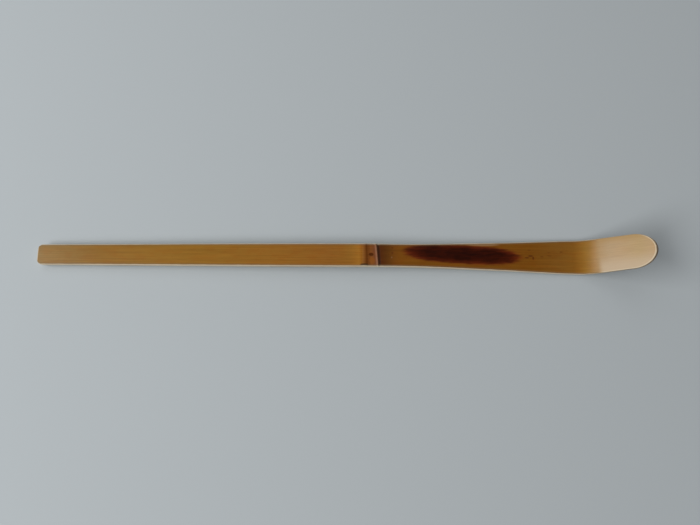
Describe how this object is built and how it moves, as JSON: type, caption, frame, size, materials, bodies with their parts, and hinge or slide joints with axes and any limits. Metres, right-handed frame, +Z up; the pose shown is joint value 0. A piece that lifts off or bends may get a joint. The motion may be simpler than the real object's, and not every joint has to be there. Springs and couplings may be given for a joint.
{
  "type": "tea scoop",
  "caption": "Slim carved bamboo tea scoop with a node at its middle and one end bent up into a rounded blade, for measuring powdered tea.",
  "frame": {"origin": "centre of the bounding box's base, on the table", "axes": "+X from the cut end to the scoop, +Y across the strip, +Z up from the table"},
  "size_m": [0.1794, 0.0104, 0.0163],
  "materials": {
    "golden_skin": "satin bamboo skin, golden brown, with a dark brown stain on the blade",
    "pale_skin": "satin bamboo skin, pale tan",
    "ridge": "satin, reddish brown",
    "band": "satin, reddish brown",
    "scar": "matt pale ledge with a dark crevice",
    "flesh": "planed bamboo with fine dark fibres",
    "trace": "matt, rough"
  },
  "bodies": {
    "root": {"handle_skin": "golden_skin", "handle_flesh": "flesh", "nodal_ridge": "ridge", "node_band": "band", "sheath_scar": "scar", "node_flesh": "flesh", "diaphragm_trace": "trace", "blade_skin": "golden_skin", "blade_flesh": "flesh", "bend_skin": "golden_skin", "bend_flesh": "flesh", "scoop_skin": "pale_skin", "scoop_flesh": "flesh"}
  },
  "joints": []
}
